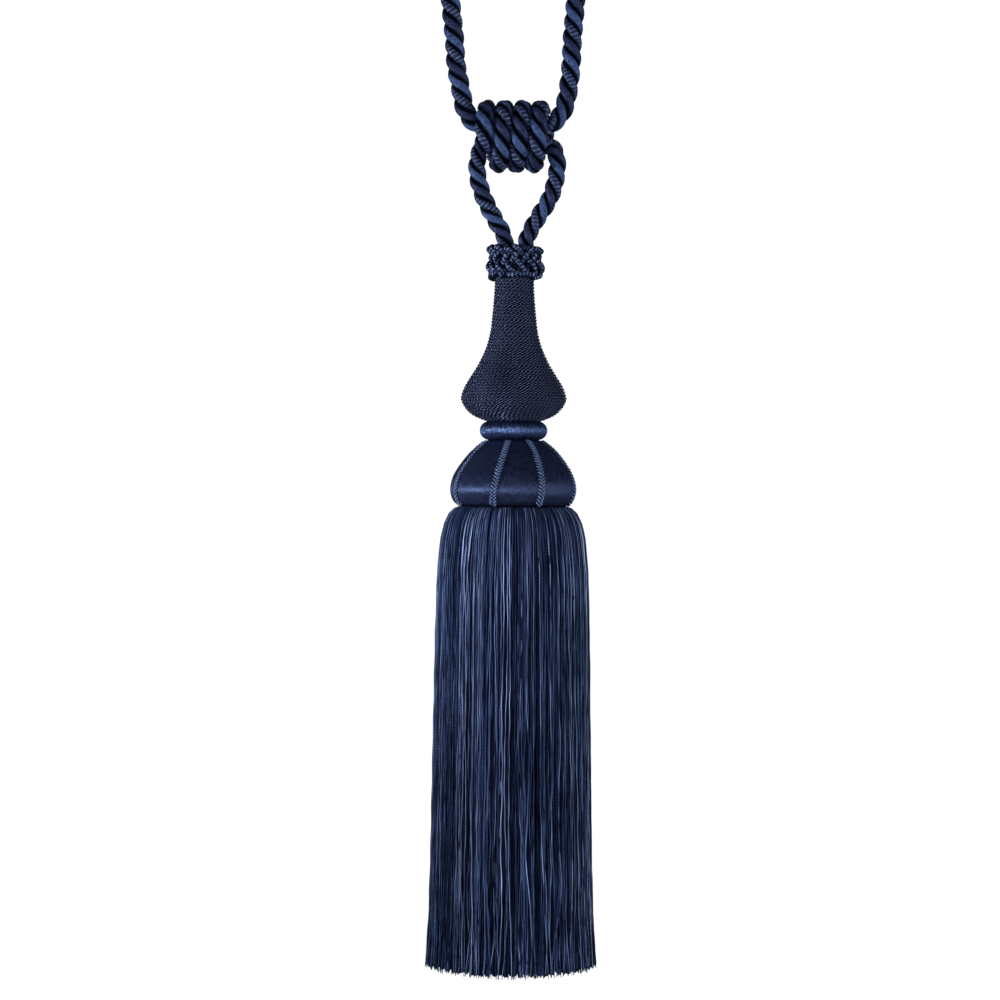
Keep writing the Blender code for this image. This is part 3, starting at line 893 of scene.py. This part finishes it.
def make_slide_knot(materials):
    """A barrel of turns of the same cord, wound round the loop's two runs."""
    turn_length = math.hypot(FULL_TURN * KNOT_HELIX_RADIUS, KNOT_PITCH)
    steps = round((KNOT_END - KNOT_START) / 360 * turn_length / STATION_STEP)
    stations = []
    for step in range(steps + 1):
        degrees = KNOT_START + (KNOT_END - KNOT_START) * step / steps
        turn = math.radians(degrees)
        narrow = max(0.0, 1 - min(degrees - KNOT_START, KNOT_END - degrees) / KNOT_TAPER)
        radius = KNOT_CORD_RADIUS + (KNOT_END_RADIUS - KNOT_CORD_RADIUS) * narrow ** 2
        outward = Vector((0.0, -math.sin(turn), math.cos(turn)))
        x = KNOT_TOP_X - KNOT_PITCH * degrees / 360 + KNOT_LEAN * (1 - math.cos(turn))
        centre = (KNOT_HELIX_RADIUS * outward + Vector((x, 0.0, KNOT_AXIS_Z))) * MM
        lead = (-KNOT_PITCH / FULL_TURN + KNOT_LEAN * math.sin(turn)) / KNOT_HELIX_RADIUS
        tangent = Vector((lead, -math.cos(turn), -math.sin(turn))).normalized()
        side = (outward - tangent * outward.dot(tangent)).normalized()
        turns = read_table(KNOT_MARKS, degrees)
        stations.append(Station(centre, tangent, side, radius * MM, turns))
    bm = bmesh.new()
    lay_plies(bm, stations, (BLUE, GIMP, NAVY))
    return add_piece("slide_knot_plies", bm, materials, ["slide_knot"])


def make_whipping(material):
    """One thread wound round the cord in touching turns."""
    places = [place for _, place in even_points(*fine_route(CORD_ROUTE), WHIPPING_PLACING)]
    first, last = nearest(places, *WHIPPING_FROM), nearest(places, *WHIPPING_TO)
    steps = WHIPPING_TURNS * WHIPPING_RINGS
    spine = []
    for step in range(steps + 1):
        k = round(first + (last - first) * step / steps)
        centre = Vector(places[k][:3])
        tangent = (Vector(places[k + 3][:3]) - Vector(places[k - 3][:3])).normalized()
        angle = FULL_TURN * WHIPPING_TURNS * step / steps
        spoke = math.cos(angle) * FRONT + math.sin(angle) * tangent.cross(FRONT)
        thread = WHIPPING_THREAD * MM
        spine.append(((centre + WHIPPING_RADIUS * spoke) * MM, spoke, thread, thread))
    rings = rings_along(spine)
    bm = bmesh.new()
    lay_strand(bm, strand_form(WHIPPING_SIDES, steps, WHIPPING_RING_STEP * steps), rings)
    return add_piece("loop_whipping_thread", bm, [material], ["loop_whipping"])


def make_neck_ruff(material):
    """A ring knot: one ribbed strand that passes over and under itself round the neck."""
    rng = random.Random(SEED)
    waves = [[(rng.randint(*RUFF_STRAY_RATES), rng.uniform(0.0, FULL_TURN))
              for _ in range(RUFF_STRAY_WAVES)] for _ in range(3)]
    spine = []
    for step in range(RUFF_RINGS):
        turn = FULL_TURN * RUFF_LEADS * step / RUFF_RINGS
        swing = turn * RUFF_BIGHTS / RUFF_LEADS
        higher, wider, aside = (sum(math.sin(rate * turn / RUFF_LEADS + start)
                                    for rate, start in wave) for wave in waves)
        z = RUFF_MIDDLE_Z + RUFF_HALF_HEIGHT * math.cos(swing) + RUFF_STRAY_UP * higher
        over = math.sin((RUFF_LEADS - 1) * swing)
        radius = RUFF_RADIUS + RUFF_LIFT * over + RUFF_LEAN * math.sin(swing)
        radius += RUFF_STRAY_OUT * wider
        radius -= RUFF_DRAWN_IN * math.cos(swing) ** 6
        spoke = spoke_at(turn + RUFF_STRAY_ASIDE * aside)
        centre = (radius * spoke + Vector((RUFF_X, 0.0, z))) * MM
        spine.append((centre, spoke, RUFF_STRAND * MM, RUFF_STRAND * MM))
    spine.append(spine[0])
    rings = rings_along(ribbed(spine, RUFF_RIB_DEPTH))
    bm = bmesh.new()
    lay_strand(bm, strand_form(RUFF_SIDES, RUFF_RINGS, RUFF_RINGS / RINGS_PER_RIB), rings)
    return add_piece("neck_ruff_knot", bm, [material], ["neck_ruff"])


# --- bell, ring, dome and braids ---
def outline_curve(outline, spacing):
    """Points (z, radius) and outward normals of a smooth outline at an even spacing."""
    fine, travelled = fine_route([(z, radius, 0.0) for z, radius in outline])
    points = [(z, radius) for _, (z, radius, _) in even_points(fine, travelled, spacing)]
    curve = []
    for k, (z, radius) in enumerate(points):
        before, after = points[max(k - 1, 0)], points[min(k + 1, len(points) - 1)]
        run = Vector((after[1] - before[1], after[0] - before[0])).normalized()
        curve.append((z, radius, Vector((-run.y, run.x))))
    return curve


def close_sheet(bm):
    """Welds a wrapped sheet's seam, closes its two ends and turns its faces out."""
    bmesh.ops.remove_doubles(bm, verts=bm.verts, dist=MERGE)
    bmesh.ops.dissolve_degenerate(bm, edges=bm.edges, dist=MERGE)
    rims = [edge for edge in bm.edges if edge.is_boundary]
    bmesh.ops.holes_fill(bm, edges=rims, sides=len(rims))
    bmesh.ops.recalc_face_normals(bm, faces=bm.faces)
    if bm.calc_volume(signed=True) < 0:
        bmesh.ops.reverse_faces(bm, faces=bm.faces)


def make_bell(material):
    """Fine cord wound in a helix from the neck down to the bell's underside."""
    step = WINDING_PITCH / WINDING_ROWS
    curve = outline_curve(BELL_OUTLINE, step)
    last = len(curve) - 1
    wound = [0.0]
    for _, radius, _ in curve:
        wound.append(wound[-1] + FULL_TURN * radius / WINDING_ROWS)
    rows = last + WINDING_ROWS
    bm, uv = mapped_grid(WINDING_COLUMNS, rows)
    for face in bm.faces:
        turn = round(min(loop[uv].uv.y for loop in face.loops) * rows) // WINDING_ROWS
        for loop in face.loops:
            row = round(loop[uv].uv.y * rows)
            place = (turn + loop[uv].uv.x) * WINDING_ROWS
            at = min(max(int(place), 0), last)
            length = wound[at] + (place - int(place)) * (wound[at + 1] - wound[at])
            loop[uv].uv = (length, row / WINDING_ROWS - turn)
    for vert in bm.verts:
        column = round((vert.co.x + 0.5) * WINDING_COLUMNS)
        row = round((vert.co.y + 0.5) * rows)
        along = row - WINDING_ROWS + WINDING_ROWS * column / WINDING_COLUMNS
        held = min(max(along, 0.0), float(last))
        k = min(int(held), last - 1)
        (z0, r0, n0), (z1, r1, n1) = curve[k], curve[k + 1]
        share = held - k
        normal = n0.lerp(n1, share)
        lift = -WINDING_SINK
        if along == held:
            crest = math.sin(math.pi * ((row % WINDING_ROWS) / WINDING_ROWS))
            lift = WINDING_RELIEF * crest - WINDING_SINK
        radius = r0 + (r1 - r0) * share + normal.x * lift
        z = z0 + (z1 - z0) * share + normal.y * lift
        vert.co = turned_place(radius, FULL_TURN * (column / WINDING_COLUMNS - 0.5), z)
    close_sheet(bm)
    return add_piece("bell_winding", bm, [material], ["bell"])


def make_threaded(name, curve, columns, material, nodes, rng):
    """A mould covered by threads that run down it, each a little proud or sunk at either end."""
    rows = len(curve) - 1
    head = [rng.uniform(-1.0, 1.0) for _ in range(columns)]
    foot = [rng.uniform(-1.0, 1.0) for _ in range(columns)]
    step = math.dist(curve[rows // 2][:2], curve[rows // 2 + 1][:2])
    bm, uv = mapped_grid(columns, rows)
    for face in bm.faces:
        for loop in face.loops:
            loop[uv].uv.y *= rows * step
    for vert in bm.verts:
        column = round((vert.co.x + 0.5) * columns) % columns
        row = round((vert.co.y + 0.5) * rows)
        z, radius, normal = curve[row]
        share = row / rows
        lift = THREAD_RELIEF * (head[column] * (1 - share) + foot[column] * share)
        radius += normal.x * lift
        z += normal.y * lift
        vert.co = turned_place(radius, FULL_TURN * (column / columns - 0.5), z)
    close_sheet(bm)
    return add_piece(name, bm, [material], nodes)


def make_ring(material, rng):
    """A rounded ring between the bell and the dome."""
    reach = RING_RADIUS - RING_CORE_RADIUS
    curve = []
    for row in range(RING_ROWS + 1):
        angle = math.pi / 2 - math.pi * row / RING_ROWS
        normal = Vector((math.cos(angle), math.sin(angle)))
        curve.append((RING_CENTRE_Z + RING_BEAD_RADIUS * math.sin(angle),
                      RING_CORE_RADIUS + reach * math.cos(angle), normal))
    return make_threaded("ring_threads", curve, RING_COLUMNS, material, ["ring"], rng)


def make_dome(material, rng):
    """The dome under its satin yarn."""
    curve = outline_curve(DOME_OUTLINE, DOME_SPACING)
    return make_threaded("dome_threads", curve, DOME_COLUMNS, material, ["dome"], rng)


def make_braid(number, top, foot, material, rng):
    """A flat braid of two rows of slanted stitches down the dome."""
    curve = [point for point in outline_curve(DOME_OUTLINE, BRAID_PLACING)
             if BRAID_FOOT_Z <= point[0] <= BRAID_TOP_Z]
    every = round(STITCH_SPACING / BRAID_PLACING) // 2
    bm = bmesh.new()
    form = strand_form(STITCH_SIDES, len(STITCH_TAPER) - 1, STITCH_LENGTH)
    for stitch, (z, radius, normal) in enumerate(curve[::every]):
        share = (BRAID_TOP_Z - z) / (BRAID_TOP_Z - BRAID_FOOT_Z)
        bearing = math.radians(top + (foot - top) * share)
        outward = spoke_at(bearing)
        lift = (outward * normal.x + Vector((0, 0, 1)) * normal.y).normalized()
        aside = Vector((math.cos(bearing), math.sin(bearing), 0.0))
        down = aside.cross(lift).normalized()
        down = -down if down.z > 0 else down
        side = 1 if stitch % 2 else -1
        slant = math.radians(STITCH_SLANT + rng.uniform(-STITCH_SLANT_STRAY, STITCH_SLANT_STRAY))
        run = (math.cos(slant) * down - side * math.sin(slant) * aside).normalized()
        centre = outward * radius + Vector((0, 0, z)) + aside * side * STITCH_ASIDE
        centre += lift * (STITCH_LIFT + rng.uniform(-STITCH_LIFT_STRAY, STITCH_LIFT_STRAY))
        spine = []
        for along, plump in STITCH_TAPER:
            # the outer end tucks in, and the inner end lies over the stitch below
            bow = lift * (STITCH_RISE * along - STITCH_BOW * along ** 2)
            spine.append(((centre + run * along * STITCH_LENGTH / 2 + bow) * MM, lift,
                          STITCH_THICK / 2 * plump * MM, STITCH_WIDE / 2 * plump * MM))
        lay_strand(bm, form, rings_along(spine))
    name = f"braid_{number}"
    return add_piece(f"{name}_stitches", bm, [material], [name])


# --- fringe ---
def ragged_foot(rng):
    """The height of a yarn's cut end; most are near the foot, and a few end higher."""
    return FRINGE_FOOT + YARN_RAGGED * (rng.random() ** 2 - 0.1)


def yarn_spine(levels, foot, share, bearing, thickness, rng, looseness):
    """The middle line of one hanging yarn, a little off plumb."""
    sway = [(rng.uniform(*YARN_SWAY_RATES), rng.uniform(0, FULL_TURN), rng.uniform(-1, 1))
            for _ in range(YARN_SWAY_WAVES)]
    crimp = [(rng.uniform(*YARN_CRIMP_RATES), rng.uniform(0, FULL_TURN)) for _ in range(2)]
    drift = rng.gauss(0.0, YARN_DRIFT) * looseness
    stand = min(rng.gauss(0.0, YARN_STAND) * looseness, YARN_STAND_MOST)
    flick = rng.gauss(0.0, YARN_FLICK) * looseness
    spine = []
    for z in (*levels, foot + YARN_END, foot):
        down = (FRINGE_HEAD - z) / FRINGE_LENGTH
        wave = sum(size * (math.sin(rate * down * FULL_TURN + start) - math.sin(start))
                   for rate, start, size in sway)
        crimp_size = looseness * YARN_CRIMP * min(1.0, 8 * down)
        crimp_aside, crimp_out = (crimp_size * math.sin(rate * down * FULL_TURN + start)
                                  for rate, start in crimp)
        near_foot = max(0.0, (down - YARN_FLICK_FROM) / (1.0 - YARN_FLICK_FROM))
        aside = looseness * YARN_SWAY * wave * down ** 0.7 + drift * down ** 2
        aside += flick * near_foot ** 1.4 + crimp_aside
        radius = share * read_table(FRINGE_OUTLINE, z) + stand * down ** 2 + crimp_out
        spoke = spoke_at(bearing + aside / radius)
        half = thickness / 2 * MM * (YARN_END_SHARE if z == foot else 1.0)
        spine.append(((spoke * radius + Vector((0, 0, z))) * MM, spoke, half, half))
    return spine


def make_fringe_layers(name, spacing, layers, material, rng):
    """Rings of yarns that hang one by one from the fringe's head."""
    bm = bmesh.new()
    straight = SHOULDER_LEVELS[-1] - FRINGE_FOOT
    steps = round(straight / spacing)
    levels = SHOULDER_LEVELS + tuple(SHOULDER_LEVELS[-1] - straight * k / steps
                                     for k in range(1, steps - 1))
    form = strand_form(YARN_SIDES, len(levels) + 1, FRINGE_LENGTH)
    for count, share, thicknesses, tones, looseness in layers:
        for number in range(count):
            place = number + rng.uniform(-YARN_PLACE_STRAY, YARN_PLACE_STRAY)
            foot = ragged_foot(rng) + YARN_TUCK * (OUTER_SHARE - share)
            own_share = share + rng.uniform(-YARN_SHARE_STRAY, YARN_SHARE_STRAY)
            spine = yarn_spine(levels, foot, own_share, FULL_TURN * place / count,
                               rng.uniform(*thicknesses), rng, looseness)
            lay_strand(bm, form, rings_along(spine), tone=rng.uniform(*tones))
    return add_piece(name, bm, [material], ["skirt"])


def make_fringe_core(material, rng):
    """The yarns inside, which show at the cut foot."""
    bm = bmesh.new()
    form = strand_form(CORE_SIDES, len(CORE_LEVELS) + 1, FRINGE_LENGTH)
    foot_radius = FRINGE_OUTLINE[-1][1]
    steps = int(CORE_REACH * foot_radius / CORE_SPACING) + 1
    for row in range(-steps, steps + 1):
        for column in range(-steps, steps + 1):
            x = column + 0.5 * (row % 2) + rng.uniform(-CORE_STRAY, CORE_STRAY)
            y = row * CORE_ROW + rng.uniform(-CORE_STRAY, CORE_STRAY)
            share = math.hypot(x * CORE_SPACING, y * CORE_SPACING) / foot_radius
            if share > CORE_REACH:
                continue
            foot = ragged_foot(rng)
            spine = yarn_spine(CORE_LEVELS, foot, share, math.atan2(x, -y), CORE_THICKNESS, rng,
                               CORE_LOOSENESS)
            # only dark tones for the core: painted shade
            lay_strand(bm, form, rings_along(spine), tone=CORE_TONE * rng.random())
    return add_piece("fringe_core", bm, [material], ["skirt"])


# --- assembly ---
make_camera()
make_floor()
make_lights()

TWIST = make_twist_group()
THREADS = make_streak_group()
SIDES = make_sides_group()
DYE = make_dye_group()

blue_ply = satin_ply("blue_satin_ply", (0.020, 0.038, 0.116, 1), (0.055, 0.093, 0.232, 1))
# each gimp's first colour is painted shade in its grooves, and its third colour a painted highlight
# on its ribs
gimp_ply = ribbed_gimp("ribbed_gimp_ply", (0.008, 0.012, 0.040, 1), (0.015, 0.023, 0.072, 1),
                       (0.270, 0.350, 0.600, 1), sharpness=13.0, edges=(0.66, 0.86),
                       highlight_flecks=(9.0, 3.0, 2.5))
navy_ply = satin_ply("navy_satin_ply", (0.008, 0.011, 0.036, 1), (0.026, 0.034, 0.094, 1))
cord_plies = [blue_ply, gimp_ply, navy_ply]

cord, cord_path = make_cord_loop(cord_plies)
knot = make_slide_knot(cord_plies)
whipping = make_whipping(navy_ply)

ruff_gimp = ribbed_gimp("ruff_gimp", (0.002, 0.003, 0.012, 1), (0.014, 0.022, 0.072, 1),
                        (0.235, 0.310, 0.570, 1), sharpness=5.0, edges=(0.74, 0.97),
                        highlight_flecks=(5.0, 0.8, 4.5))
make_neck_ruff(ruff_gimp)
# the winding's near-black first colour is painted shade in its grooves
make_bell(cord_winding("bell_winding", (0.0006, 0.0012, 0.007, 1), (0.150, 0.184, 0.352, 1)))

thread_rng = random.Random(SEED + 1)
ring_silk = silky_threads("ring_silk", (0.011, 0.020, 0.056, 1), (0.088, 0.140, 0.318, 1),
                          roughness=0.46, stretch=0.6, metallic=0.9, threads=200.0, along=0.35,
                          relief=0.24)
make_ring(ring_silk, thread_rng)
dome_satin = silky_threads("dome_satin", (0.001, 0.0015, 0.005, 1), (0.020, 0.028, 0.072, 1),
                           roughness=0.42, stretch=0.9, metallic=0.10, threads=420.0, along=0.45,
                           relief=0.09)
make_dome(dome_satin, thread_rng)
braid_plait = plaited_braid("braid_plait", (0.038, 0.064, 0.180, 1), (0.270, 0.375, 0.700, 1))
braid_rng = random.Random(SEED + 2)
for number, (top, foot) in enumerate(BRAIDS, start=1):
    make_braid(number, top, foot, braid_plait, braid_rng)

fringe_rng = random.Random(SEED + 3)
fringe = fringe_yarn("fringe_yarn")
for name, spacing, layers in FRINGE_LAYERS:
    make_fringe_layers(name, spacing, layers, fringe, fringe_rng)
make_fringe_core(fringe, fringe_rng)
